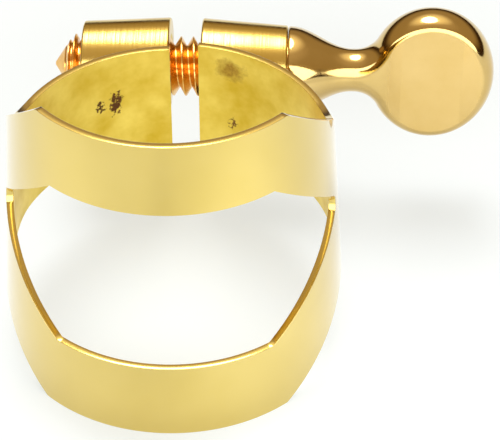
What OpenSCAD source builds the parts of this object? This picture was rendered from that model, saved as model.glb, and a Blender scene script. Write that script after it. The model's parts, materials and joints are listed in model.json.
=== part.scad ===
// Saxophone ligature: a spring sheet-metal band with a large window on the reed side, closed at the
// back by one thumb screw that runs through two posts.
// Units are millimetres. +Z runs along the mouthpiece, towards its narrow tip end, the reed side faces
// -Y, and the screw runs along X behind the band. The origin is on the mouthpiece axis, level with the
// screw.

/* [Band] */
// Outer radius of the band, level with the screw
band_r = 10.22; // [9:0.01:12]
// How much the outer radius shrinks for each millimetre up the mouthpiece
band_taper = 0.068; // [0.03:0.001:0.1]
// Thickness of the sheet
sheet_t = 0.45; // [0.35:0.05:0.6]
// Height of the upper strip's top edge above the screw's level, at the reed side
top_h = 11.16; // [10.5:0.01:11.8]
// Depth of the lower strip's bottom edge under the screw's level, at the reed side
bottom_h = 9.93; // [9.3:0.01:10.5]
// Height of the top edge at the back, on the threaded post's half
back_top_left_h = 4; // [3.8:0.01:4.6]
// Height of the top edge at the back, on the plain post's half
back_top_right_h = 4.4; // [3.8:0.01:4.6]
// Depth of the bottom edge at the back
back_bottom_h = 4.18; // [3.8:0.01:4.6]
// Distance along the sheet, from the middle of the reed side, to where the top edge turns down
top_turn = 8; // [7.5:0.01:9]
// Distance along the sheet to where the bottom edge turns up
bottom_turn = 8.2; // [7.5:0.01:9]
// Distance along the sheet to where both edges would meet the level of the back
back_turn = 17.9; // [17:0.1:18.5]
// Radius of the bend that leads each outer edge into the narrow back
back_bend_r = 6.7; // [4:0.1:8]

/* [Window] */
// Height of the window's upper edge above the screw's level, at the reed side
window_top_h = 6.5; // [6:0.01:6.8]
// Depth of the window's lower edge under the screw's level, at the reed side
window_bottom_h = 4.81; // [4.4:0.01:5.2]
// Distance along the sheet to where the window's upper edge turns down
window_top_turn = 7.05; // [6.5:0.01:7.6]
// Distance along the sheet to where the window's lower edge turns up
window_bottom_turn = 7.03; // [6.5:0.01:7.6]
// Distance along the sheet to where the window's two edges would meet
window_point = 15; // [14.5:0.1:15.3]
// Height above the screw's level at which they would meet
window_point_h = 1; // [0.5:0.05:1.5]
// Radius of the window's narrow ends
window_end_r = 0.8; // [0.5:0.05:1]

/* [Split] */
// Width of the split at the back
split_w = 1.9; // [1.8:0.01:2.2]
// How far the middle of the split stands off the middle of the band
split_x = 0.19; // [0:0.01:0.3]

/* [Posts] */
// Distance of the screw axis from the mouthpiece axis
screw_y = 13.19; // [13.1:0.01:13.4]
// Radius of each post at its inner end
post_inner_r = 3.19; // [3:0.01:3.4]
// Radius of each post at its outer end
post_outer_r = 2.85; // [2.7:0.01:3.2]
// Length of the threaded post
threaded_post_len = 5.75; // [5:0.05:6.5]
// Length of the plain post
plain_post_len = 5.65; // [5:0.05:6.5]
// Width of the chamfers at the posts' ends
post_chamfer = 0.12; // [0.05:0.01:0.3]
// Distance that the solder reaches along the band from a post's inner end
solder_len = 3.9; // [3:0.1:4.5]
// Half of the solder seam's width
solder_half_w = 1.9; // [1.6:0.05:2.1]

/* [Thumb screw] */
// Radius over the crests of the thread
thread_r = 2; // [1.9:0.01:2.1]
// Distance between two threads
pitch = 0.8; // [0.7:0.05:1]
// Length of the pointed end that stands out past the crests
point_len = 1.32; // [1:0.01:1.6]
// Radius of the bell's shoulder, which bears on the plain post
bell_r = 2.82; // [2.6:0.01:2.9]
// Length of the bell, from its shoulder to the neck
bell_len = 4.25; // [4:0.05:4.6]
// Radius of the neck
neck_r = 1.42; // [1.3:0.01:1.6]
// Half of the head's length along the screw
head_half_l = 4.15; // [3.8:0.05:4.4]
// Half of the head's width across the screw
head_half_w = 4.55; // [4.2:0.05:4.8]
// Thickness of the head
head_t = 2.9; // [2.2:0.05:3.2]
// Distance of the head's middle from the mouthpiece axis, along the screw
head_x = 16.27; // [16:0.01:16.8]
// How far the head's flat face leans back at rest, in degrees
head_lean = 7; // [0:1:15]

/* [Hidden] */
$fn = 96;
gold = [0.86, 0.71, 0.36];
warm_gold = [0.86, 0.66, 0.36];
solder_gold = [0.82, 0.70, 0.44];

solder_gap = 0.015;    // between the posts or their solder and the band
thread_gap = 0.04;     // between the thread's crests and the threaded post's bore
bore_gap = 0.06;       // between the shank and the plain post's bore
edge_back = 0.2;       // how far the threaded post stands back from its edge of the split
edge_over = 0.02;      // how far the plain post stands past its edge of the split
crest_out = 0.57;      // how far the last full crest stands outside the threaded post
solder_inset = 0.1;    // from a post's inner end to the start of its solder
shoulder_gap = 0.04;   // between the bell's shoulder and the plain post
shoulder_edge = 0.1;   // chamfer of the bell's shoulder
rim_inset = 0.75;      // from the head's outline to its flat faces
rim_shoulder = 0.2;    // from the head's outline to the middle of its rounded rim
oval_power = 0.93;     // under 1, which makes the head's oval fuller than an ellipse
neck_overlap = 1.2;    // how far the neck reaches into the head
far = 40;              // longer than anything on the object
arc_steps = 8;         // points on each rounded corner of an edge
edge_steps = 14;       // points on each sloping stretch of an edge

left_inner_x = split_x - split_w / 2 - edge_back;
right_inner_x = split_x + split_w / 2 - edge_over;
left_outer_x = left_inner_x - threaded_post_len;
right_outer_x = right_inner_x + plain_post_len;
bell_x = right_outer_x + shoulder_gap;
point_x = left_outer_x - crest_out;           // the last full crest
thread_end_x = right_inner_x + 2 * pitch;
thread_depth = pitch * cos(30);               // sharp 60 degree thread
root_r = thread_r - thread_depth;

// Outer radius of the band at a height
function radius_at(z) = band_r - band_taper * z;

// Side view of a point of the flat blank: s along the sheet from the middle of the reed side, z up
function side_view(s, z) = let (r = radius_at(z)) [-r * cos(s / r * 180 / PI), z];

// Points of an arc in the flat blank, from angle a to angle b
function arc(cx, cz, r, a, b) =
    [for (i = [0 : arc_steps]) let (t = a + (b - a) * i / arc_steps) [cx + r * cos(t), cz + r * sin(t)]];

// Points of a straight stretch in the flat blank, from p to q
function stretch(p, q) = [for (i = [0 : edge_steps]) p + (q - p) * i / edge_steps];

// An outer edge of half the blank, from its turn at height h to its height at the back
function outer_edge(turn, h, back_h) = let (
    angle = atan((h - back_h) / (back_turn - turn)),
    reach = back_bend_r * tan(angle / 2),
    slope_end = [back_turn - reach * cos(angle), back_h + reach * sin(angle)])
    concat(stretch([turn, h], slope_end),
           arc(back_turn + reach, back_h + back_bend_r, back_bend_r, 270 - angle, 270));

// The edge of half the window, from its upper turn, round its narrow end, to its lower turn
function window_edge() = let (
    upper = atan((window_top_h - window_point_h) / (window_point - window_top_turn)),
    lower = atan((window_bottom_h + window_point_h) / (window_point - window_bottom_turn)),
    reach = window_end_r / sin((upper + lower) / 2),
    way = (lower - upper) / 2,
    end_s = window_point - reach * cos(way),
    end_h = window_point_h - reach * sin(way))
    concat(stretch([window_top_turn, window_top_h],
                   [end_s + window_end_r * sin(upper), end_h + window_end_r * cos(upper)]),
           arc(end_s, end_h, window_end_r, 90 - upper, lower - 90),
           stretch([end_s + window_end_r * sin(lower), end_h - window_end_r * cos(lower)],
                   [window_bottom_turn, -window_bottom_h]));

// An edge as a side view, and one that is given upside down and from its other end
function above(edge) = [for (p = edge) side_view(p[0], p[1])];
function below(edge) = [for (i = [len(edge) - 1 : -1 : 0]) side_view(edge[i][0], -edge[i][1])];

module band_side(back_top_h) {
    difference() {
        polygon(concat([[-far, top_h]], above(outer_edge(top_turn, top_h, back_top_h)),
                       [[far, back_top_h], [far, -back_bottom_h]],
                       below(outer_edge(bottom_turn, bottom_h, back_bottom_h)), [[-far, -bottom_h]]));
        polygon(concat([[-far, window_top_h]], above(window_edge()), [[-far, -window_bottom_h]]));
    }
}

// A cone that lies `grow` outside the band's outer face
module band_cone(grow) {
    reach = max(top_h, bottom_h) + 2;
    translate([0, 0, -reach])
        cylinder(h = 2 * reach, r1 = radius_at(-reach) + grow, r2 = radius_at(reach) + grow);
}

module band() {
    color(gold) difference() {
        intersection() {
            band_cone(0);
            union() {
                rotate([90, 0, 90]) linear_extrude(height = far) band_side(back_top_right_h);
                translate([-far, 0, 0])
                    rotate([90, 0, 90]) linear_extrude(height = far) band_side(back_top_left_h);
            }
        }
        band_cone(-sheet_t);
        translate([split_x - split_w / 2, 0, -far / 2]) cube([split_w, far, far]);
    }
}

// A round solid on the screw axis, turned from half a section given as [x, radius] points
module turned(section) {
    translate([0, screw_y, 0]) rotate([0, 90, 0]) rotate_extrude()
        polygon([for (p = section) [p[1], p[0]]]);
}

// A tapered post with its outer end at outer_x and its inner end at inner_x
module post_body(inner_x, outer_x) {
    way = sign(outer_x - inner_x);
    turned([[inner_x, 0], [inner_x, post_inner_r - post_chamfer],
            [inner_x + way * post_chamfer, post_inner_r],
            [outer_x - way * post_chamfer, post_outer_r],
            [outer_x, post_outer_r - post_chamfer], [outer_x, 0]]);
}

module bore(r) {
    translate([-far / 2, screw_y, 0]) rotate([0, 90, 0]) cylinder(h = far, r = r);
}

module threaded_post() {
    color(gold) difference() {
        post_body(left_inner_x, left_outer_x);
        bore(thread_r + thread_gap);
        band_cone(solder_gap);
    }
}

module plain_post() {
    color(gold) difference() {
        post_body(right_inner_x, right_outer_x);
        bore(thread_r + bore_gap);
        band_cone(solder_gap);
    }
}

// The solder under a post: a seam with a round end, between the post and the band
module solder(inner_x, outer_x) {
    way = sign(outer_x - inner_x);
    start_x = inner_x + way * solder_inset;
    round_x = inner_x + way * (solder_len - solder_half_w);
    color(solder_gold) difference() {
        translate([0, screw_y - 1, 0]) rotate([90, 0, 0]) linear_extrude(height = screw_y) union() {
            translate([min(start_x, round_x), -solder_half_w])
                square([abs(round_x - start_x), 2 * solder_half_w]);
            translate([round_x, 0]) circle(r = solder_half_w);
        }
        post_body(inner_x, outer_x);
        band_cone(solder_gap);
    }
}

module threaded_post_solder() {
    solder(left_inner_x, left_outer_x);
}

module plain_post_solder() {
    solder(right_inner_x, right_outer_x);
}

// Section of the thread's crests and roots, from the point to the plain shank
thread_turns = floor((thread_end_x - point_x) / pitch);
function thread_section() = [for (i = [0 : thread_turns - 1], p = [[0, thread_r], [0.5, root_r]])
    [point_x + (i + p[0]) * pitch, p[1]]];

// Section of the bell, a smooth fall from its shoulder to the neck
bell_steps = 12;
function bell_section() = [for (i = [0 : bell_steps]) let (u = i / bell_steps)
    [bell_x + shoulder_edge + u * (bell_len - shoulder_edge),
     neck_r + (bell_r - neck_r) * (1 + cos(180 * u)) / 2]];

// Outline of the head, an oval a little fuller than an ellipse
head_points = 56;
function head_outline(inset) = [for (i = [0 : head_points - 1])
    let (a = 360 * i / head_points, c = cos(a), s = sin(a))
    [(head_half_l - inset) * sign(c) * pow(abs(c), oval_power),
     (head_half_w - inset) * sign(s) * pow(abs(s), oval_power)]];

module head_slab(inset, t) {
    linear_extrude(height = t, center = true) polygon(head_outline(inset));
}

module head() {
    translate([head_x, screw_y, 0]) rotate([90 - head_lean, 0, 0]) hull() {
        head_slab(rim_inset, head_t);
        head_slab(rim_shoulder, head_t - rim_inset);
        head_slab(0, head_t - 2 * rim_inset);
    }
}

module thumb_screw() {
    neck_end_x = head_x - head_half_l + neck_overlap;
    color(warm_gold) union() {
        turned(concat([[point_x - point_len, 0]], thread_section(),
                      [[thread_end_x, thread_r], [bell_x, thread_r], [bell_x, bell_r - shoulder_edge]],
                      bell_section(), [[neck_end_x, neck_r], [neck_end_x, 0]]));
        head();
    }
}

band();
threaded_post();
threaded_post_solder();
plain_post();
plain_post_solder();
thumb_screw();
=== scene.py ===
"""A saxophone ligature in polished, gold-lacquered brass.

A split spring band with a window on the reed side carries two soldered posts, and one thumb screw draws
the posts together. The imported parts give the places, and this file gives every part its finished mesh and
its surface.
"""

import json
import logging
import math
from dataclasses import dataclass, field
from enum import Enum

import bmesh
import bpy
from bmesh.types import BMEdge, BMesh, BMVert
from bpy.types import Material, MeshVertex, Node, NodeSocket, Object
from mathutils import Matrix, Vector


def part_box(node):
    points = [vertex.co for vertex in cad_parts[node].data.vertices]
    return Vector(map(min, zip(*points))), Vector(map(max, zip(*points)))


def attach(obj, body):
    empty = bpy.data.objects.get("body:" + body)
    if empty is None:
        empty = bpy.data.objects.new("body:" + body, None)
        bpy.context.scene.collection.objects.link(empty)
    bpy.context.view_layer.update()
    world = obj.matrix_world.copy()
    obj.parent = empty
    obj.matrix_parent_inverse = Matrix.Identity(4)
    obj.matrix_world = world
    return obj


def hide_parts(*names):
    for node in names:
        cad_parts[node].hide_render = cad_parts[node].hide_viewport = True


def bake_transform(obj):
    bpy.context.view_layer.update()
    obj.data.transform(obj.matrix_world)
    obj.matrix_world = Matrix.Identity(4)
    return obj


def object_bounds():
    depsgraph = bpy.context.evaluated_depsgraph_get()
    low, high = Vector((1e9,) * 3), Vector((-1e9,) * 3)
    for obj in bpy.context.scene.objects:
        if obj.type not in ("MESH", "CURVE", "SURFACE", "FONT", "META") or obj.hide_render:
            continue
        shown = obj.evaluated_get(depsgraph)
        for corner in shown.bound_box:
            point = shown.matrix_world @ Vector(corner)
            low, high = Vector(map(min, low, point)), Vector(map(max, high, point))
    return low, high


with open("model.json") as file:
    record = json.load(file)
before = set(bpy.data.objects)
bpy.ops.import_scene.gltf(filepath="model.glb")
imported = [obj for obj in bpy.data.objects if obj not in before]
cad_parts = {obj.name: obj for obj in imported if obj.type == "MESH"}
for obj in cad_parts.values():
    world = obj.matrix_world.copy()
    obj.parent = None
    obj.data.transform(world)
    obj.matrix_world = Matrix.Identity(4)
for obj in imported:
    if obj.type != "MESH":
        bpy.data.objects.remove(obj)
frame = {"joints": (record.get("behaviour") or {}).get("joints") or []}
cad_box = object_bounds()

log = logging.getLogger("ligature")

MM = 0.001
PER_MM = 1000.0
ORIGIN = (0.0, 0.0, 0.0)
WELD_MM = 0.002
CUT_MM = 0.0005
SURFACE_MM = 0.01
SATIN = "brushed"
NOISE_MIDDLE = (0.3, 0.7)


# ------------------------------------------------------------------------------------------ small tools


def screw_axis() -> Vector:
    """Returns the point on the screw axis that the screw's own joint turns about."""
    joint = next(j for j in frame["joints"] if j["name"] == "screw_turn")
    return Vector(joint["pos_m"])


def smoothstep(t: float) -> float:
    """Returns 0 before t = 0, 1 after t = 1 and a smooth rise between them."""
    t = min(max(t, 0.0), 1.0)
    return t * t * (3.0 - 2.0 * t)


def stretch(start: float, end: float, count: int) -> list[float]:
    """Returns evenly spaced stations.

    Args:
        start: the first station, which is included.
        end: the last station, which is left out, so that stretches can follow each other.
        count: how many stations.

    Returns:
        The stations in order.
    """
    return [start + (end - start) * i / count for i in range(count)]


def make_object(bm: BMesh, name: str, materials: list[Material], sharp_deg: float = 180.0) -> Object:
    """Turns a finished bmesh into a smooth-shaded object at the origin.

    Args:
        bm: the mesh in metres, in place. It is freed.
        name: the piece's name.
        materials: the finishes, in the order of the faces' material indices.
        sharp_deg: edges that turn by more than this are shaded sharp.

    Returns:
        The new object, linked to the scene.
    """
    mesh = bpy.data.meshes.new(name)
    bm.to_mesh(mesh)
    bm.free()
    for material in materials:
        mesh.materials.append(material)
    mesh.shade_smooth()
    if sharp_deg < 180.0:
        mesh.set_sharp_from_angle(angle=math.radians(sharp_deg))
    piece = bpy.data.objects.new(name, mesh)
    bpy.context.scene.collection.objects.link(piece)
    return piece


def weigh_normals(piece: Object) -> None:
    """Lets the large faces set the shading, so that narrow rounded edges don't darken them."""
    modifier = piece.modifiers.new("Large faces first", "WEIGHTED_NORMAL")
    modifier.keep_sharp = True


def turn(section: list[tuple[float, float]], axis_point: Vector, steps: int, closed: bool) -> BMesh:
    """Turns a section around the screw axis, as on a lathe.

    Args:
        section: points of half the section as (place along the screw, radius), in metres.
        axis_point: a point on the screw axis.
        steps: how many steps make a full turn.
        closed: whether the last point joins the first, as in a bored part.

    Returns:
        The turned solid.
    """
    bm = bmesh.new()
    points = [bm.verts.new((x, axis_point.y, axis_point.z + r)) for x, r in section]
    pairs = list(zip(points, points[1:]))
    if closed:
        pairs.append((points[-1], points[0]))
    edges = [bm.edges.new(pair) for pair in pairs]
    bmesh.ops.spin(
        bm, geom=points + edges, cent=axis_point, axis=(1, 0, 0), angle=math.tau, steps=steps, use_merge=True
    )
    bmesh.ops.remove_doubles(bm, verts=bm.verts, dist=WELD_MM * MM)
    bmesh.ops.recalc_face_normals(bm, faces=bm.faces)
    return bm


# ------------------------------------------------------------------------------------------ finishes


class Graph:
    """A small helper around one material's node tree."""

    def __init__(self, name: str) -> None:
        """Starts an empty node tree with a Principled shader."""
        self.material = bpy.data.materials.new(name)
        self.material.use_nodes = True
        self.nodes = self.material.node_tree.nodes
        self.links = self.material.node_tree.links
        self.shader = self.nodes["Principled BSDF"]

    def add(self, kind: str, **settings: object) -> Node:
        """Adds a node.

        Args:
            kind: the node's type name.
            settings: attributes by name, and input values under "inputs" as a dict.

        Returns:
            The node.
        """
        node = self.nodes.new(kind)
        for key, value in settings.pop("inputs", {}).items():
            node.inputs[key].default_value = value
        for key, value in settings.items():
            setattr(node, key, value)
        return node

    def link(self, source: NodeSocket, target: NodeSocket) -> None:
        """Links two sockets."""
        self.links.new(source, target)

    def coordinates(self, scale: tuple[float, float, float], place: tuple[float, float, float]) -> NodeSocket:
        """Returns Object coordinates about a place, scaled along each axis."""
        source = self.add("ShaderNodeTexCoord")
        mapping = self.add("ShaderNodeMapping", inputs={"Scale": scale})
        mapping.inputs["Location"].default_value = tuple(-p * s for p, s in zip(place, scale))
        self.link(source.outputs["Object"], mapping.inputs["Vector"])
        return mapping.outputs["Vector"]

    def noise(self, vector: NodeSocket, scale: float, detail: float, roughness: float) -> NodeSocket:
        """Returns a noise value from 0 to 1 on the given coordinates."""
        node = self.add(
            "ShaderNodeTexNoise", inputs={"Scale": scale, "Detail": detail, "Roughness": roughness}
        )
        self.link(vector, node.inputs["Vector"])
        return node.outputs["Fac"]

    def rescale(
        self, value: NodeSocket, low: float, high: float, to_low: float, to_high: float
    ) -> NodeSocket:
        """Returns value mapped from one range to another, kept inside the second."""
        node = self.add(
            "ShaderNodeMapRange",
            inputs={"From Min": low, "From Max": high, "To Min": to_low, "To Max": to_high},
        )
        self.link(value, node.inputs["Value"])
        return node.outputs["Result"]

    def blend_colors(self, factor: NodeSocket, first: NodeSocket | tuple, second: tuple) -> NodeSocket:
        """Returns the first colour where factor is 0 and the second where it is 1."""
        node = self.add("ShaderNodeMix", data_type="RGBA")
        self.link(factor, node.inputs["Factor"])
        if isinstance(first, tuple):
            node.inputs["A"].default_value = first
        else:
            self.link(first, node.inputs["A"])
        node.inputs["B"].default_value = second
        return node.outputs["Result"]

    def math(self, operation: str, first: NodeSocket, second: NodeSocket) -> NodeSocket:
        """Returns two values joined by an operation, such as ADD."""
        node = self.add("ShaderNodeMath", operation=operation)
        self.link(first, node.inputs[0])
        self.link(second, node.inputs[1])
        return node.outputs["Value"]

    def distance(self, vector: NodeSocket) -> NodeSocket:
        """Returns the length of a vector."""
        node = self.add("ShaderNodeVectorMath", operation="LENGTH")
        self.link(vector, node.inputs[0])
        return node.outputs["Value"]


def rgba(color: tuple[float, float, float]) -> tuple[float, float, float, float]:
    """Returns a colour with full opacity."""
    return (*color, 1.0)


@dataclass(frozen=True)
class Stain:
    """A spot of tarnish: where it is, how far it reaches, its grain and its colour.

    It is whole inside the core, a share of its reach. Specks of noise above the threshold show, more of them
    with more cover.
    """

    place: tuple[float, float, float]
    reach: tuple[float, float, float]
    grain: float
    cover: float
    softness: float
    color: tuple[float, float, float]
    core: float = 0.25
    cover_outside: float = -0.4
    threshold: float = 0.5
    fade: float = 0.3
    roughness: float = 0.6


@dataclass(frozen=True)
class Brass:
    """Lacquered brass. The second colour is where the lacquer lies thicker."""

    name: str
    color: tuple[float, float, float]
    deep_color: tuple[float, float, float]
    roughness: float
    roughness_spread: float
    cloud_scale: float
    grain: tuple[float, float, float]
    grain_scale: float
    grain_depth: float
    coat: float = 0.0
    coat_roughness: float = 0.06
    coat_ior: float = 1.6
    sheen: float = 0.0
    sheen_roughness: float = 0.45
    satin_extra: float = 0.0
    stains: tuple[Stain, ...] = ()

    def build(self) -> Material:
        """Returns the finish as a material on Object coordinates."""
        graph = Graph(self.name)
        shader = graph.shader
        shader.inputs["Metallic"].default_value = 1.0
        shader.inputs["Coat Weight"].default_value = self.coat
        shader.inputs["Coat Roughness"].default_value = self.coat_roughness
        shader.inputs["Coat IOR"].default_value = self.coat_ior
        shader.inputs["Sheen Weight"].default_value = self.sheen
        shader.inputs["Sheen Roughness"].default_value = self.sheen_roughness
        even = graph.coordinates((PER_MM,) * 3, ORIGIN)
        clouds = graph.noise(even, self.cloud_scale, detail=4.0, roughness=0.55)
        thick = graph.rescale(clouds, *NOISE_MIDDLE, 0.0, 1.0)
        color = graph.blend_colors(thick, rgba(self.color), rgba(self.deep_color))
        smoothest = self.roughness - self.roughness_spread
        roughest = self.roughness + self.roughness_spread
        rough = graph.rescale(clouds, *NOISE_MIDDLE, smoothest, roughest)
        for stain in self.stains:
            color, rough = self._stain(graph, stain, color, rough)
        if self.satin_extra > 0.0:
            rough = self._satin(graph, rough)
        graph.link(color, shader.inputs["Base Color"])
        graph.link(rough, shader.inputs["Roughness"])
        grained = graph.coordinates(tuple(PER_MM * g for g in self.grain), ORIGIN)
        lines = graph.noise(grained, self.grain_scale, detail=3.0, roughness=0.6)
        bump = graph.add("ShaderNodeBump", inputs={"Strength": 1.0, "Distance": self.grain_depth * MM})
        graph.link(lines, bump.inputs["Height"])
        graph.link(bump.outputs["Normal"], shader.inputs["Normal"])
        return graph.material

    def _satin(self, graph: Graph, rough: NodeSocket) -> NodeSocket:
        """Roughens a surface where the piece's own attribute says that it was brushed."""
        brushed = graph.add("ShaderNodeAttribute", attribute_name=SATIN)
        extra = graph.rescale(brushed.outputs["Fac"], 0.0, 1.0, 0.0, self.satin_extra)
        return graph.math("ADD", rough, extra)

    @staticmethod
    def _stain(
        graph: Graph, stain: Stain, color: NodeSocket, rough: NodeSocket
    ) -> tuple[NodeSocket, NodeSocket]:
        """Lays one stain over a colour and a roughness.

        Args:
            graph: the material's nodes.
            stain: the stain, with its place and reach in millimetres.
            color: the colour under it.
            rough: the roughness under it.

        Returns:
            The colour and the roughness with the stain on them.
        """
        scale = tuple(PER_MM / r for r in stain.reach)
        around = graph.coordinates(scale, tuple(p * MM for p in stain.place))
        near = graph.rescale(graph.distance(around), 1.0, stain.core, 0.0, 1.0)
        even = graph.coordinates((PER_MM,) * 3, ORIGIN)
        specks = graph.noise(even, stain.grain, detail=5.0, roughness=0.7)
        shown = graph.math("ADD", specks, graph.rescale(near, 0.0, 1.0, stain.cover_outside, stain.cover))
        mask = graph.rescale(shown, stain.threshold, stain.threshold + stain.softness, 0.0, 1.0)
        mask = graph.math("MULTIPLY", mask, graph.rescale(near, 0.0, stain.fade, 0.0, 1.0))
        stained = graph.blend_colors(mask, color, rgba(stain.color))
        rougher = graph.math("MAXIMUM", rough, graph.rescale(mask, 0.0, 1.0, 0.0, stain.roughness))
        return stained, rougher


POLISHED_BAND = Brass(
    name="polished band lacquer",
    color=(0.76, 0.575, 0.145),
    deep_color=(0.69, 0.505, 0.095),
    roughness=0.14,
    roughness_spread=0.03,
    cloud_scale=0.12,
    grain=(1.0, 1.0, 0.15),
    grain_scale=2.5,
    grain_depth=0.002,
    coat=1.0,
    sheen=0.2,
)
SATIN_INSIDE = Brass(
    name="satin inside",
    color=(0.96, 0.74, 0.15),
    deep_color=(0.68, 0.46, 0.035),
    roughness=0.36,
    roughness_spread=0.05,
    cloud_scale=0.35,
    grain=(1.0, 1.0, 0.25),
    grain_scale=5.0,
    grain_depth=0.006,
    stains=(
        Stain((-4.25, 8.8, 0.2), (1.0, 1.0, 2.3), 3.4, 0.11, 0.06, (0.13, 0.055, 0.02)),
        Stain((-5.2, 8.3, 0.1), (0.8, 0.8, 1.3), 4.2, 0.08, 0.06, (0.12, 0.055, 0.02)),
        Stain((3.3, 9.2, 2.8), (2.0, 2.0, 1.6), 1.6, 0.34, 0.5, (0.36, 0.20, 0.03)),
        Stain((3.25, 9.2, -1.7), (1.0, 1.0, 1.4), 5.0, 0.0, 0.05, (0.22, 0.11, 0.03)),
    ),
)
TURNED_POST = Brass(
    name="turned post lacquer",
    color=(0.80, 0.59, 0.19),
    deep_color=(0.70, 0.49, 0.11),
    roughness=0.2,
    roughness_spread=0.05,
    cloud_scale=0.3,
    grain=(1.0, 0.02, 0.02),
    grain_scale=7.0,
    grain_depth=0.022,
)
SOLDER = Brass(
    name="solder under lacquer",
    color=(0.84, 0.64, 0.24),
    deep_color=(0.72, 0.50, 0.14),
    roughness=0.34,
    roughness_spread=0.06,
    cloud_scale=0.8,
    grain=(1.0, 1.0, 1.0),
    grain_scale=1.6,
    grain_depth=0.05,
)
THREAD_BRASS = Brass(
    name="cut thread",
    color=(0.90, 0.56, 0.18),
    deep_color=(0.80, 0.43, 0.10),
    roughness=0.22,
    roughness_spread=0.06,
    cloud_scale=0.9,
    grain=(0.05, 1.0, 1.0),
    grain_scale=6.0,
    grain_depth=0.004,
)
POLISHED_HEAD = Brass(
    name="polished head lacquer",
    color=(0.68, 0.475, 0.165),
    deep_color=(0.62, 0.42, 0.125),
    roughness=0.11,
    roughness_spread=0.03,
    cloud_scale=0.35,
    grain=(1.0, 1.0, 1.0),
    grain_scale=1.6,
    grain_depth=0.004,
    coat=0.6,
    satin_extra=0.24,
)


# ------------------------------------------------------------------------------------------ band


class Side(Enum):
    """The two halves of the band, by the way they lie from its middle."""

    THREADED = -1
    PLAIN = 1


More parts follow.
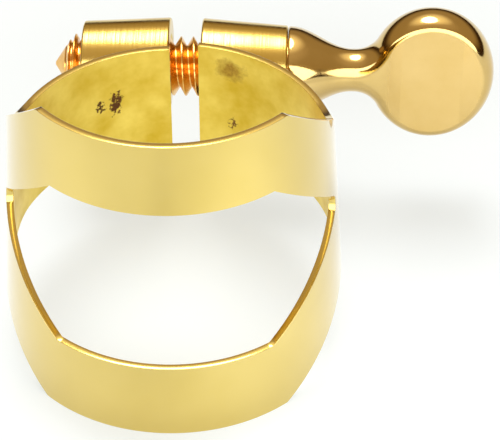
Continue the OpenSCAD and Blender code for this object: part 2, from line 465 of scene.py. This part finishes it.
@dataclass
class Band:
    """The split spring band, laid out flat as s along the sheet and z up it, and rolled onto its cone."""

    radius: float = 10.22
    taper: float = 0.068
    sheet: float = 0.45
    top: float = 11.16
    bottom: float = 9.93
    back_top: dict[Side, float] = field(default_factory=lambda: {Side.THREADED: 4.0, Side.PLAIN: 4.4})
    back_bottom: float = 4.18
    top_turn: float = 8.0
    bottom_turn: float = 8.2
    back_turn: float = 17.9
    back_bend: float = 6.7
    window_top: float = 6.5
    window_bottom: float = 4.81
    window_turn: float = 7.04
    window_point: float = 15.0
    window_point_h: float = 1.0
    window_end: float = 0.8
    split_edge: dict[Side, float] = field(default_factory=lambda: {Side.THREADED: 0.76, Side.PLAIN: 1.14})
    edge_round: float = 0.1
    rows: int = 8
    back_steps: int = 54
    end_arc_steps: int = 8
    seam_weld: float = 0.003
    corner_deg: float = 50.0

    def radius_at(self, z: float) -> float:
        """Returns the outer radius at a height."""
        return self.radius - self.taper * z

    def outer_height(self, s: float, turn_s: float, height: float, back: float) -> float:
        """Returns how far an outer edge stands from the screw's level.

        Args:
            s: the place along the sheet.
            turn_s: where the edge leaves its full height.
            height: the full height, at the reed side.
            back: the height at the back.

        Returns:
            The height at s.
        """
        angle = math.atan2(height - back, self.back_turn - turn_s)
        reach = self.back_bend * math.tan(angle / 2)
        if s <= turn_s:
            return height
        if s <= self.back_turn - reach * math.cos(angle):
            return height - (s - turn_s) * math.tan(angle)
        if s < self.back_turn + reach:
            return back + self.back_bend - math.sqrt(self.back_bend**2 - (s - self.back_turn - reach) ** 2)
        return back

    def window_end_circle(self) -> tuple[float, float, float, float]:
        """Returns the centre of the window's round end and the slopes of its two edges, in radians."""
        upper = math.atan2(self.window_top - self.window_point_h, self.window_point - self.window_turn)
        lower = math.atan2(self.window_bottom + self.window_point_h, self.window_point - self.window_turn)
        reach = self.window_end / math.sin((upper + lower) / 2)
        way = (lower - upper) / 2
        return (
            self.window_point - reach * math.cos(way),
            self.window_point_h - reach * math.sin(way),
            upper,
            lower,
        )

    def window_height(self, s: float, sign: int) -> float:
        """Returns the height of the window's upper edge (sign 1) or lower edge (sign -1) at s."""
        cs, cz, upper, lower = self.window_end_circle()
        slope = upper if sign > 0 else lower
        start = self.window_top if sign > 0 else -self.window_bottom
        if s <= self.window_turn:
            return start
        if s <= cs + self.window_end * math.sin(slope):
            return start - sign * (s - self.window_turn) * math.tan(slope)
        return cz + sign * math.sqrt(max(self.window_end**2 - (s - cs) ** 2, 0.0))

    def columns(self, turn_s: float, sign: int) -> list[float]:
        """Returns the stations along half the sheet, as far as the window's narrow end.

        Args:
            turn_s: where this arm's outer edge leaves its full height.
            sign: 1 for the upper arm and -1 for the lower one.

        Returns:
            The stations, with one at each corner of the arm's edges.
        """
        cs, _, upper, lower = self.window_end_circle()
        slope = upper if sign > 0 else lower
        last = self.end_arc_steps
        angles = [slope + (math.pi / 2 - slope) * i / last for i in range(last + 1)]
        return (
            stretch(0.0, self.window_turn, 26)
            + stretch(self.window_turn, turn_s, 4)
            + stretch(turn_s, cs + self.window_end * math.sin(slope), 20)
            + [cs + self.window_end * math.sin(a) for a in angles]
        )

    def arm(self, bm: BMesh, side: Side, sign: int) -> None:
        """Adds the upper or lower arm of one half, with its share of the back, as a rolled grid.

        Args:
            bm: the mesh to add to.
            side: which half of the band.
            sign: 1 for the upper arm and -1 for the lower one.
        """
        turn_s = self.top_turn if sign > 0 else self.bottom_turn
        to_window = self.columns(turn_s, sign)
        count = len(to_window) - 1 + self.back_steps
        tip = to_window[-1]
        tip_z = self.window_height(tip, sign)
        new = bmesh.ops.create_grid(bm, x_segments=count, y_segments=self.rows, size=1.0)["verts"]
        for vert in new:
            i = round((vert.co.x + 1) / 2 * count)
            share = (vert.co.y + 1) / 2
            if i < len(to_window):
                s = to_window[i]
                inner = self.window_height(s, sign)
                along_back = 0.0
            else:
                along_back = (i - len(to_window) + 1) / self.back_steps
                s = tip + along_back * (math.pi * self.radius - self.split_edge[side] - tip)
                inner = tip_z
            if sign > 0:
                outer = self.outer_height(s, turn_s, self.top, self.back_top[side])
            else:
                outer = -self.outer_height(s, turn_s, self.bottom, self.back_bottom)
            z = inner + (outer - inner) * share
            r = self.radius_at(z)
            if along_back > 0:
                end = r * (math.pi - math.asin(self.split_edge[side] / r))
                s = tip + along_back * (end - tip)
            vert.co = Vector((side.value * r * math.sin(s / r), -r * math.cos(s / r), z)) * MM

    def on_cone(self, co: Vector, inward: float) -> bool:
        """Tells whether a point lies on the band's outer cone, or that far inside it."""
        r = self.radius_at(co.z / MM) - inward
        return abs(math.hypot(co.x, co.y) / MM - r) < SURFACE_MM

    def half(self, side: Side) -> Object:
        """Builds one half of the band.

        Args:
            side: which half.

        Returns:
            The half as an object, closed all round and rounded along its edges.
        """
        bm = bmesh.new()
        self.arm(bm, side, 1)
        self.arm(bm, side, -1)
        bmesh.ops.remove_doubles(bm, verts=bm.verts, dist=self.seam_weld * MM)
        wall = bmesh.ops.extrude_face_region(bm, geom=list(bm.faces))
        for vert in wall["geom"]:
            if isinstance(vert, BMVert):
                ring = Vector((vert.co.x, vert.co.y, 0.0))
                vert.co -= ring.normalized() * self.sheet * MM
        bmesh.ops.recalc_face_normals(bm, faces=bm.faces)
        for face in bm.faces:
            face.material_index = int(all(self.on_cone(v.co, self.sheet) for v in face.verts))
        caps = [f for f in bm.faces if all(self._at_middle(v) for v in f.verts)]
        bmesh.ops.delete(bm, geom=caps, context="FACES")
        rims = [e for e in bm.edges if self._is_rim(e)]
        bmesh.ops.bevel(
            bm,
            geom=rims,
            offset=self.edge_round * MM,
            offset_type="OFFSET",
            affect="EDGES",
            segments=3,
            profile=0.5,
            material=-1,
            clamp_overlap=True,
        )
        bmesh.ops.holes_fill(bm, edges=[e for e in bm.edges if e.is_boundary], sides=0)
        bm.normal_update()
        name = "band_threaded_half" if side is Side.THREADED else "band_plain_half"
        piece = make_object(bm, name, [POLISHED_BAND.build(), SATIN_INSIDE.build()])
        self._set_normals(piece)
        return piece

    @staticmethod
    def _at_middle(vert: BMVert | MeshVertex) -> bool:
        """Tells whether a point lies in the middle of the reed side, where the halves meet."""
        return abs(vert.co.x) < SURFACE_MM * MM and vert.co.y < 0

    def _is_rim(self, edge: BMEdge) -> bool:
        """Tells whether an edge is a corner of the sheet."""
        return len(edge.link_faces) == 2 and edge.calc_face_angle() > math.radians(self.corner_deg)

    def _set_normals(self, piece: Object) -> None:
        """Gives the rolled faces the cone's own normals, so that the two halves shade as one sheet."""
        normals = []
        for vert in piece.data.vertices:
            out = Vector((vert.co.x, vert.co.y, 0.0)).normalized()
            out = (out + Vector((0.0, 0.0, self.taper))).normalized()
            if self.on_cone(vert.co, 0.0):
                normals.append(out)
            elif self.on_cone(vert.co, self.sheet):
                normals.append(-out)
            elif self._at_middle(vert):
                normals.append(Vector((0.0, vert.normal.y, vert.normal.z)).normalized())
            else:
                normals.append(vert.normal)
        piece.data.normals_split_custom_set_from_vertices(normals)

    def build(self) -> list[Object]:
        """Builds the two halves, which meet unseen in the middle of the reed side.

        Returns:
            The pieces.
        """
        pieces = []
        for side, body in ((Side.THREADED, "threaded_post"), (Side.PLAIN, "plain_post")):
            piece = self.half(side)
            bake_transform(piece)
            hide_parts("band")
            pieces.append(piece)
        return pieces


# ------------------------------------------------------------------------------------------ posts


@dataclass
class Post:
    """A turned post that lies along the screw, with the solder that holds it to the band."""

    side: Side
    band: Band
    inner_r: float = 3.19
    outer_r: float = 2.85
    bore_r: float = 2.06
    chamfer: float = 0.14
    chamfer_steps: int = 4
    turned_steps: int = 128
    bore_mouth: float = 0.12
    solder_inset: float = 0.1
    solder_len: float = 3.9
    solder_half_w: float = 1.9
    solder_stations: int = 15
    solder_roundness: float = 3.2
    solder_least: float = 0.004
    flank_steps: int = 6
    flank_lean: float = 0.72
    flank_hollow: float = 0.28
    deepest_hollow: float = 0.4
    hidden_run: float = 0.12

    @property
    def node(self) -> str:
        """Returns the name of the post's own node, which is its body's name too."""
        return "threaded_post" if self.side is Side.THREADED else "plain_post"

    def ends(self) -> tuple[float, float]:
        """Returns where the post's inner and outer ends lie along the screw, in metres."""
        low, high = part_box(self.node)
        return (high.x, low.x) if self.side is Side.THREADED else (low.x, high.x)

    def section(self) -> list[tuple[float, float]]:
        """Returns the closed half section, with rounded chamfers at both ends and at the bore's mouths."""
        inner, outer = self.ends()
        way = self.side.value * MM
        c = self.chamfer
        mouth = self.bore_mouth
        angles = [math.pi / 2 * i / self.chamfer_steps for i in range(self.chamfer_steps + 1)]
        points = [
            (inner + way * c * (1 - math.sin(a)), (self.inner_r - c * (1 - math.cos(a))) * MM)
            for a in reversed(angles)
        ]
        points += [
            (outer - way * c * (1 - math.sin(a)), (self.outer_r - c * (1 - math.cos(a))) * MM) for a in angles
        ]
        points += [
            (outer, (self.bore_r + mouth) * MM),
            (outer - way * mouth, self.bore_r * MM),
            (inner + way * mouth, self.bore_r * MM),
            (inner, (self.bore_r + mouth) * MM),
        ]
        return points

    def body(self) -> Object:
        """Builds the turned post."""
        bm = turn(self.section(), screw_axis(), self.turned_steps, closed=True)
        piece = make_object(bm, self.node + "_turned", [TURNED_POST.build()], sharp_deg=40.0)
        weigh_normals(piece)
        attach(piece, self.node)
        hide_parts(self.node)
        return piece

    def solder(self) -> Object:
        """Builds the fillet of solder between the post and the band.

        Returns:
            The fillet: rings across the screw, bridged from one end of the seam to the other.
        """
        axis = screw_axis()
        inner, outer = self.ends()
        length = abs(outer - inner)
        bm = bmesh.new()
        loops = []
        for i in range(self.solder_stations + 1):
            along = 1 - math.cos(math.pi / 2 * i / self.solder_stations)
            x = inner + self.side.value * (self.solder_inset + self.solder_len * along) * MM
            share_sq = max(1 - along**self.solder_roundness, self.solder_least)
            width = self.solder_half_w * math.sqrt(share_sq)
            share = abs(x - inner) / length
            post_r = self.inner_r + (self.outer_r - self.inner_r) * share
            loops.append(self._solder_ring(bm, x, width, post_r, axis))
        for first, second in zip(loops, loops[1:]):
            bmesh.ops.bridge_loops(bm, edges=first + second)
        for loop in (loops[0], loops[-1]):
            bmesh.ops.contextual_create(bm, geom=loop)
        bmesh.ops.recalc_face_normals(bm, faces=bm.faces)
        piece = make_object(bm, self.node + "_fillet", [SOLDER.build()], sharp_deg=60.0)
        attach(piece, self.node)
        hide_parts(self.node + "_solder")
        return piece

    def _solder_ring(self, bm: BMesh, x: float, width: float, post_r: float, axis: Vector) -> list[BMEdge]:
        """Adds one ring of the fillet: hollow flanks above and below, and hidden runs in post and sheet.

        Args:
            bm: the mesh to add to.
            x: the ring's place along the screw, in metres.
            width: half of the seam's width on the band, in millimetres.
            post_r: the post's radius there, in millimetres.
            axis: a point on the screw axis.

        Returns:
            The ring's edges.
        """
        z_post = width * self.flank_lean
        y_band = math.sqrt(max(self.band.radius_at(width) ** 2 - (x / MM) ** 2, 0.0)) - self.hidden_run
        y_post = axis.y / MM - math.sqrt(max(post_r**2 - z_post**2, 0.0)) + self.hidden_run
        flank = []
        for i in range(self.flank_steps + 1):
            t = i / self.flank_steps
            hollow = self.flank_hollow * (y_post - y_band) * math.sin(math.pi * t)
            z = width + (z_post - width) * t - max(min(hollow, self.deepest_hollow), 0.0)
            flank.append((y_band + (y_post - y_band) * t, z))
        ring = flank + [(y, -z) for y, z in reversed(flank)]
        verts = [bm.verts.new((x, y * MM, z * MM)) for y, z in ring]
        return [bm.edges.new(pair) for pair in zip(verts, verts[1:] + verts[:1])]

    def build(self) -> list[Object]:
        """Builds the post and its solder."""
        return [self.body(), self.solder()]


# ------------------------------------------------------------------------------------------ thumb screw


@dataclass
class Station:
    """One place along the bell, neck or head, in millimetres from the middle of the head."""

    spot: Vector
    out: Vector
    crown: float
    half_t: float
    satin: float

    def ring(self, levels: int) -> list[Vector]:
        """Returns the points of the ring across the screw here.

        Args:
            levels: how many steps each flank takes from one flat face to the other.

        Returns:
            The points, round one flank and back round the other.
        """
        places = []
        for sign in (1, -1):
            for k in range(levels + 1):
                b = math.pi * (0.5 - k / levels) * sign
                flank = self.spot - self.out * self.crown * (1 - math.cos(b))
                places.append(Vector((flank.x, -self.half_t * math.sin(b), sign * max(flank.y, 0.0))))
        return places


@dataclass
class ThumbScrew:
    """The one screw: a point, a V thread, a shank, and a bell that narrows to a neck and a flat head."""

    thread_r: float = 1.97
    pitch: float = 0.8
    crest_flat: float = 0.07
    thread_flank_deg: float = 30.0
    thread_phase: float = 0.18
    point_len: float = 1.5
    point_profile: tuple[tuple[float, float], ...] = (
        (0.0, 0.12),
        (0.05, 0.2),
        (0.68, 1.19),
        (0.76, 1.22),
        (0.93, 1.58),
        (0.97, 1.58),
        (1.1, 1.42),
        (1.14, 1.42),
    )
    point_crest: tuple[float, float] = (1.3, 1.34)
    point_base_r: float = 1.7
    point_steps: int = 96
    thread_overlap: float = 0.1
    thread_steps: int = 72
    thread_into_post: float = 1.5
    shank_into_post: float = 1.4
    shank_cone: float = 0.3
    shank_relief: float = 0.6
    shank_steps: int = 64
    shank_r: float = 1.95
    shank_overlap: float = 0.5
    shoulder_gap: float = 0.04
    bell_r: float = 2.82
    bell_len: float = 4.25
    bell_edge: float = 0.12
    bell_edge_steps: int = 4
    bell_steps: int = 40
    neck_r: float = 1.42
    head_half_l: float = 4.15
    head_half_w: float = 4.55
    head_half_t: float = 1.45
    head_x: float = 16.27
    head_lean_deg: float = 7.0
    crown: float = 0.85
    face_x: float = -3.1
    flare_r: float = 1.6
    satin_from: float = 0.375
    levels: int = 18
    neck_steps: int = 8
    flare_steps: int = 22
    oval_steps: int = 84
    halvings: int = 40

    def point_x(self) -> float:
        """Returns where the screw's point lies, in millimetres."""
        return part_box("thumb_screw")[0].x / MM

    def shoulder_x(self) -> float:
        """Returns where the bell bears on the plain post, in millimetres."""
        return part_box("plain_post")[1].x / MM + self.shoulder_gap

    def thread(self) -> Object:
        """Builds the thread.

        Returns:
            A helix spun from one V, whose turns are welded to each other, cut off flat at both ends.
        """
        axis = screw_axis()
        first = self.point_x() + self.point_len - self.thread_overlap
        start = first - self.pitch
        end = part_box("plain_post")[0].x / MM + self.thread_into_post * self.pitch
        turns = math.ceil((end - start) / self.pitch) + 1
        flank = math.radians(self.thread_flank_deg)
        root_r = self.thread_r - (self.pitch - 2 * self.crest_flat) / 2 / math.tan(flank)
        half = self.crest_flat / 2
        tooth = [
            (0.0, root_r),
            (half, root_r),
            (self.pitch / 2 - half, self.thread_r),
            (self.pitch / 2 + half, self.thread_r),
            (self.pitch - half, root_r),
            (self.pitch, root_r),
        ]
        phase = math.floor(start / self.pitch) * self.pitch + self.thread_phase
        bm = bmesh.new()
        verts = [bm.verts.new(((phase + x) * MM, axis.y, axis.z + r * MM)) for x, r in tooth]
        edges = [bm.edges.new(pair) for pair in zip(verts, verts[1:])]
        bmesh.ops.spin(
            bm,
            geom=verts + edges,
            cent=axis,
            axis=(1, 0, 0),
            dvec=(self.pitch * MM / self.thread_steps, 0, 0),
            angle=math.tau * turns,
            steps=self.thread_steps * turns,
        )
        bmesh.ops.remove_doubles(bm, verts=bm.verts, dist=WELD_MM * MM)
        for x, way in ((first, -1), (end, 1)):
            cut = bmesh.ops.bisect_plane(
                bm,
                geom=bm.verts[:] + bm.edges[:] + bm.faces[:],
                dist=CUT_MM * MM,
                plane_co=(x * MM, 0, 0),
                plane_no=(way, 0, 0),
                clear_outer=True,
            )
            rim = [e for e in cut["geom_cut"] if isinstance(e, BMEdge)]
            bmesh.ops.contextual_create(bm, geom=rim)
        bmesh.ops.recalc_face_normals(bm, faces=bm.faces)
        return make_object(bm, "screw_thread", [THREAD_BRASS.build()], sharp_deg=35.0)

    def point(self) -> Object:
        """Builds the screw's pointed end: a blunt cone with two worn crests behind it."""
        tip = self.point_x()
        section = [(0.0, 0.0), *self.point_profile, *((x, self.thread_r) for x in self.point_crest)]
        section += [(self.point_len, self.point_base_r), (self.point_len, 0.0)]
        places = [((tip + x) * MM, r * MM) for x, r in section]
        bm = turn(places, screw_axis(), self.point_steps, closed=False)
        return make_object(bm, "screw_point", [THREAD_BRASS.build()], sharp_deg=20.0)

    def shank(self) -> Object:
        """Builds the plain shank inside the plain post."""
        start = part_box("plain_post")[0].x / MM + self.shank_into_post * self.pitch
        end = self.shoulder_x() + self.shank_overlap
        root = self.thread_r - self.shank_relief
        section = [
            (start, 0.0),
            (start, root),
            (start + self.shank_cone, self.shank_r),
            (end, self.shank_r),
            (end, 0.0),
        ]
        places = [(x * MM, r * MM) for x, r in section]
        bm = turn(places, screw_axis(), self.shank_steps, closed=False)
        return make_object(bm, "screw_shank", [THREAD_BRASS.build()], sharp_deg=35.0)

    def bell(self) -> list[Station]:
        """Returns the bell's stations, from the shoulder that bears on the plain post to the neck."""
        start = self.shoulder_x() - self.head_x
        edge = self.bell_edge
        places = []
        for i in range(self.bell_edge_steps + 1):
            a = math.pi / 2 * i / self.bell_edge_steps
            places.append((start + edge * (1 - math.cos(a)), self.bell_r - edge * (1 - math.sin(a))))
        for i in range(1, self.bell_steps + 1):
            u = i / self.bell_steps
            fall = (1 + math.cos(math.pi * u)) / 2
            x = start + edge + u * (self.bell_len - edge)
            places.append((x, self.neck_r + (self.bell_r - self.neck_r) * fall))
        up = Vector((0.0, 1.0))
        return [Station(Vector((x, r)), up, r, r, 0.0) for x, r in places]

    def _oval(self, angle: float) -> tuple[Vector, Vector]:
        """Returns a point of the head's oval in its own plane, and the way out of the oval there."""
        point = Vector((self.head_half_l * math.cos(angle), self.head_half_w * math.sin(angle)))
        way = Vector((math.cos(angle) / self.head_half_l, math.sin(angle) / self.head_half_w)).normalized()
        return point, way

    def flat(self, spot: Vector, out: Vector, flatness: float) -> Station:
        """Returns a station of the neck or head, between round (0) and flat (1)."""
        share = smoothstep(flatness)
        crown = self.neck_r + (self.crown - self.neck_r) * share
        half_t = self.neck_r + (self.head_half_t - self.neck_r) * share
        satin = smoothstep((flatness - self.satin_from) / (1 - self.satin_from))
        return Station(spot, out, crown, half_t, satin)

    def outline(self) -> list[Station]:
        """Returns the stations of half the head's outline, from the neck to the tip."""
        low, high = math.pi / 2, math.pi
        for _ in range(self.halvings):
            middle = (low + high) / 2
            point, way = self._oval(middle)
            if point.y + self.flare_r * way.y > self.neck_r + self.flare_r:
                low = middle
            else:
                high = middle
        join = (low + high) / 2
        point, way = self._oval(join)
        centre = point + way * self.flare_r
        neck_start = self.shoulder_x() + self.bell_len - self.head_x
        up = Vector((0.0, 1.0))
        line = [(Vector((x, self.neck_r)), up) for x in stretch(neck_start, centre.x, self.neck_steps)[1:]]
        last_angle = math.atan2(-way.x, way.y)
        for a in stretch(0.0, last_angle, self.flare_steps):
            out = Vector((-math.sin(a), math.cos(a)))
            line.append((centre - out * self.flare_r, out))
        line += [self._oval(angle) for angle in stretch(join, 0.0, self.oval_steps) + [0.0]]
        fade = self.face_x - neck_start
        return [self.flat(spot, out, (spot.x - neck_start) / fade) for spot, out in line]

    def head(self) -> Object:
        """Builds the bell, the neck and the flat oval head as one flowing shape.

        Returns:
            The head: a ring across the screw is extruded from the shoulder to the tip, station by station.
        """
        levels = self.levels
        bm = bmesh.new()
        satin = bm.verts.layers.float.new(SATIN)
        ring: list[BMVert] = []
        for station in self.bell() + self.outline():
            places = station.ring(levels)
            if not ring:
                ring = [bm.verts.new(p) for p in places]
                edges = [bm.edges.new(pair) for pair in zip(ring, ring[1:] + ring[:1])]
                first_loop = list(edges)
                continue
            new = bmesh.ops.extrude_edge_only(bm, edges=edges)["geom"]
            fresh = {v for v in new if isinstance(v, BMVert)}
            ring = [next(o for o in (e.other_vert(v) for e in v.link_edges) if o in fresh) for v in ring]
            for index, (vert, place) in enumerate(zip(ring, places)):
                vert.co = place
                on_face = index % (levels + 1) in (0, levels)
                vert[satin] = station.satin * on_face
            edges = [e for e in new if isinstance(e, BMEdge) and fresh.issuperset(e.verts)]
        bmesh.ops.contextual_create(bm, geom=first_loop)
        bmesh.ops.remove_doubles(bm, verts=bm.verts, dist=CUT_MM)
        bmesh.ops.recalc_face_normals(bm, faces=bm.faces)
        lean = Matrix.Rotation(math.radians(-self.head_lean_deg), 4, "X")
        place = Matrix.Translation(screw_axis() + Vector((self.head_x * MM, 0.0, 0.0)))
        bmesh.ops.transform(bm, matrix=place @ lean @ Matrix.Scale(MM, 4), verts=bm.verts)
        piece = make_object(bm, "thumb_head", [POLISHED_HEAD.build()], sharp_deg=60.0)
        weigh_normals(piece)
        return piece

    def build(self) -> list[Object]:
        """Builds the screw's pieces, which all turn together."""
        pieces = [self.point(), self.thread(), self.shank(), self.head()]
        for piece in pieces:
            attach(piece, "thumb_screw")
            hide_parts("thumb_screw")
        return pieces


# ------------------------------------------------------------------------------------------ studio


@dataclass(frozen=True)
class Pool:
    """A soft pool of light on the floor: its middle and reach along X and Y in metres, and its glow."""

    place: tuple[float, float]
    reach: tuple[float, float]
    inside: float
    outside: float = 0.0


# Painted shade: the floor glows less in a patch in front of the band than all round it.
SHADE = Pool((-0.001, -0.03), (0.007, 0.026), inside=0.36, outside=0.46)
# Painted light: pools where the floor glows more, one of them over the band's own shadow.
POOLS = (
    Pool((0.022, -0.021), (0.024, 0.024), inside=0.42),
    Pool((-0.028, -0.015), (0.02, 0.02), inside=0.18),
    Pool((0.0, -0.002), (0.014, 0.014), inside=0.12),
    Pool((0.0, -0.2), (0.14, 0.14), inside=0.5),
)
ROOM_LOW = (0.04, 0.02, 0.01)
ROOM_BETWEEN = ((0.14, (0.06, 0.03, 0.01)), (0.36, (0.44, 0.31, 0.15)), (0.72, (0.48, 0.35, 0.19)))
ROOM_HIGH = (0.70, 0.54, 0.35)


@dataclass
class Studio:
    """A pale floor, soft lights and the camera."""

    azimuth_deg: float = 4.714
    elevation_deg: float = 39.9
    roll_deg: float = 0.2076
    distance: float = 131.2
    aim_right: float = 4.74
    aim_up: float = -1.769
    lens_mm: float = 153.04
    floor_size: float = 3.0
    floor_gap: float = 0.01
    floor_color: tuple[float, float, float] = (0.42, 0.455, 0.50)
    glow_color: tuple[float, float, float] = (0.90, 0.97, 1.0)
    pool_edge: float = 1.2
    soft_box: tuple[float, float, float] = (-0.02, 0.16, 0.42)
    halo_color: tuple[float, float, float] = (1.5, 1.3, 0.95)
    halo_start: float = 0.80
    backdrop: tuple[float, float, float] = (0.95, 0.95, 0.94)

    def floor(self) -> Object:
        """Builds the floor under the band. Its glow paints a patch of shade in front of the band and pools of
        light, one of them over the band's own shadow.
        """
        bm = bmesh.new()
        bmesh.ops.create_grid(bm, x_segments=4, y_segments=4, size=self.floor_size / 2)
        low = cad_box[0][2] - self.floor_gap * MM
        bmesh.ops.translate(bm, verts=bm.verts, vec=(0, 0, low))
        graph = Graph("pale floor")
        graph.shader.inputs["Base Color"].default_value = rgba(self.floor_color)
        graph.shader.inputs["Roughness"].default_value = 0.9
        graph.shader.inputs["Specular IOR Level"].default_value = 0.1
        graph.shader.inputs["Emission Color"].default_value = rgba(self.glow_color)
        glow = self.glow(graph, SHADE, low)
        for pool in POOLS:
            glow = graph.math("ADD", glow, self.glow(graph, pool, low))
        graph.link(glow, graph.shader.inputs["Emission Strength"])
        piece = make_object(bm, "floor", [graph.material])
        return piece

    def glow(self, graph: Graph, pool: Pool, low: float) -> NodeSocket:
        """Returns the floor's glow in and around one soft pool of more or less light.

        Args:
            graph: the floor's nodes.
            pool: the pool.
            low: the floor's height, in metres.

        Returns:
            The glow.
        """
        around = graph.coordinates((1 / pool.reach[0], 1 / pool.reach[1], 1.0), (*pool.place, low))
        levels = {"From Min": self.pool_edge, "From Max": 0.0, "To Min": pool.outside, "To Max": pool.inside}
        node = graph.add("ShaderNodeMapRange", interpolation_type="SMOOTHSTEP", inputs=levels)
        graph.link(graph.distance(around), node.inputs["Value"])
        return node.outputs["Result"]

    @staticmethod
    def light(
        name: str, place: tuple[float, float, float], size: tuple[float, float], power: float
    ) -> Object:
        """Adds an oval soft box that faces the object.

        Args:
            name: the light's name.
            place: where it stands, in metres.
            size: its width and height, in metres.
            power: its power in watts.

        Returns:
            The light.
        """
        data = bpy.data.lights.new(name, "AREA")
        data.shape = "ELLIPSE"
        data.size, data.size_y = size
        data.energy = power
        lamp = bpy.data.objects.new(name, data)
        bpy.context.scene.collection.objects.link(lamp)
        lamp.location = place
        lamp.rotation_euler = (-Vector(place)).to_track_quat("-Z", "Y").to_euler()
        return lamp

    def world(self) -> None:
        """Sets the room's own dim, warm light, darker towards the floor's edge, and pale where it is seen."""
        world = bpy.data.worlds.new("room")
        world.use_nodes = True
        nodes, links = world.node_tree.nodes, world.node_tree.links
        way = nodes.new("ShaderNodeTexCoord")
        split = nodes.new("ShaderNodeSeparateXYZ")
        ramp = nodes.new("ShaderNodeValToRGB")
        ramp.color_ramp.elements[0].color = rgba(ROOM_LOW)
        ramp.color_ramp.elements[-1].color = rgba(ROOM_HIGH)
        for height, color in ROOM_BETWEEN:
            ramp.color_ramp.elements.new(height).color = rgba(color)
        links.new(way.outputs["Generated"], split.inputs["Vector"])
        links.new(split.outputs["Z"], ramp.inputs["Fac"])
        toward = nodes.new("ShaderNodeVectorMath")
        toward.operation = "DOT_PRODUCT"
        toward.inputs[1].default_value = Vector(self.soft_box).normalized()
        links.new(way.outputs["Generated"], toward.inputs[0])
        halo = nodes.new("ShaderNodeMapRange")
        halo.interpolation_type = "SMOOTHSTEP"
        halo.inputs["From Min"].default_value = self.halo_start
        links.new(toward.outputs["Value"], halo.inputs["Value"])
        lit = nodes.new("ShaderNodeMix")
        lit.data_type = "RGBA"
        lit.inputs["B"].default_value = rgba(self.halo_color)
        links.new(halo.outputs["Result"], lit.inputs["Factor"])
        links.new(ramp.outputs["Color"], lit.inputs["A"])
        seen = nodes.new("ShaderNodeLightPath")
        mix = nodes.new("ShaderNodeMix")
        mix.data_type = "RGBA"
        mix.inputs["B"].default_value = rgba(self.backdrop)
        links.new(seen.outputs["Is Camera Ray"], mix.inputs["Factor"])
        links.new(lit.outputs["Result"], mix.inputs["A"])
        links.new(mix.outputs["Result"], nodes["Background"].inputs["Color"])
        bpy.context.scene.world = world

    def camera(self) -> Object:
        """Places the camera in front of the reed side, looking down into the band."""
        azimuth = math.radians(self.azimuth_deg)
        elevation = math.radians(self.elevation_deg)
        back = Vector(
            (
                math.sin(azimuth) * math.cos(elevation),
                -math.cos(azimuth) * math.cos(elevation),
                math.sin(elevation),
            )
        )
        right = Vector((math.cos(azimuth), math.sin(azimuth), 0.0))
        up = back.cross(right)
        eye = back * self.distance
        back = (eye - right * self.aim_right - up * self.aim_up).normalized()
        right = Vector((0.0, 0.0, 1.0)).cross(back).normalized()
        up = back.cross(right)
        roll = math.radians(self.roll_deg)
        tilted_right = right * math.cos(roll) + up * math.sin(roll)
        tilted_up = up * math.cos(roll) - right * math.sin(roll)
        axes = Matrix((tilted_right, tilted_up, back)).transposed().to_4x4()
        data = bpy.data.cameras.new("camera")
        data.lens = self.lens_mm
        data.clip_start = 0.01
        camera = bpy.data.objects.new("camera", data)
        bpy.context.scene.collection.objects.link(camera)
        camera.matrix_world = Matrix.Translation(eye * MM) @ axes
        bpy.context.scene.camera = camera
        return camera

    def build(self) -> None:
        """Sets up the camera, the floor and the lights."""
        self.camera()
        self.floor()
        self.world()
        self.light("overhead soft box", self.soft_box, size=(0.19, 0.28), power=0.95)
        self.light("front card", (0.0, -0.55, 0.2), size=(1.7, 0.55), power=7.5)
        bpy.context.scene.view_settings.view_transform = "Standard"


def main() -> None:
    """Builds the studio and every sub-assembly, and reports each piece."""
    logging.basicConfig(level=logging.INFO, format="%(name)s: %(message)s")
    Studio().build()
    band = Band()
    assemblies = [band, Post(Side.THREADED, band), Post(Side.PLAIN, band), ThumbScrew()]
    for assembly in assemblies:
        for piece in assembly.build():
            log.info("%s: %d faces", piece.name, len(piece.data.polygons))


if __name__ == "__main__":
    main()
